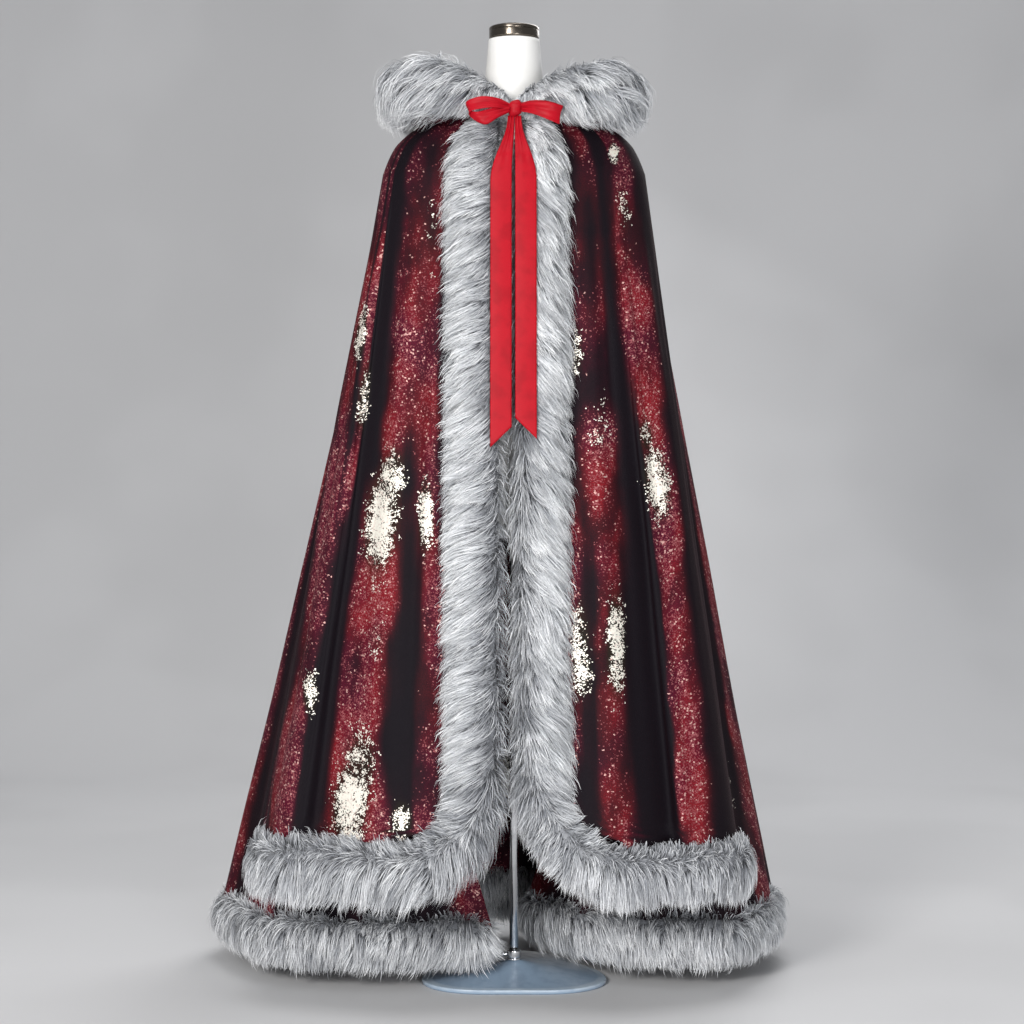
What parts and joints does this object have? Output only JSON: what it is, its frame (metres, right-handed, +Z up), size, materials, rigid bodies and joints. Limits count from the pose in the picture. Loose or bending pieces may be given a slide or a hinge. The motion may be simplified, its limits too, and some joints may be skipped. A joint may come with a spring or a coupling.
{
  "type": "hooded cloak on a limbless dress form with a pole and a low metal base",
  "caption": "Long hooded cloak with deep fur edging and a ribbon tie at the neck, hanging open-hemmed on a limbless dress form that stands on a pole and a low base.",
  "frame": {"origin": "on the floor, on the axis of the dress form's pole", "axes": "+Z up, -Y to the open front of the cloak, +X to the right of someone who looks at the front"},
  "size_m": [1.0835, 0.7006, 1.7218],
  "materials": {
    "velvet": "dark wine velvet with worn pale gold foil",
    "fur": "long grey pile, pale tips over dark roots",
    "satin": "red satin",
    "form_cover": "smooth white stretch cover",
    "dark_chrome": "dark polished",
    "chrome": "polished",
    "base_paint": "satin blue grey"
  },
  "bodies": {
    "root": {"front_left": "velvet", "front_right": "velvet", "back": "velvet", "gore_left": "velvet", "gore_right": "velvet", "hood": "velvet", "fur_hood": "fur", "fur_front_left": "fur", "fur_front_right": "fur", "fur_hem": "fur", "bow_knot": "satin", "bow_loop_left": "satin", "bow_loop_right": "satin", "bow_tail_left": "satin", "bow_tail_right": "satin", "form_torso": "form_cover", "neck_cap": "dark_chrome", "pole": "chrome", "base_collar": "chrome", "base_screw": "chrome", "base": "base_paint"}
  },
  "joints": []
}
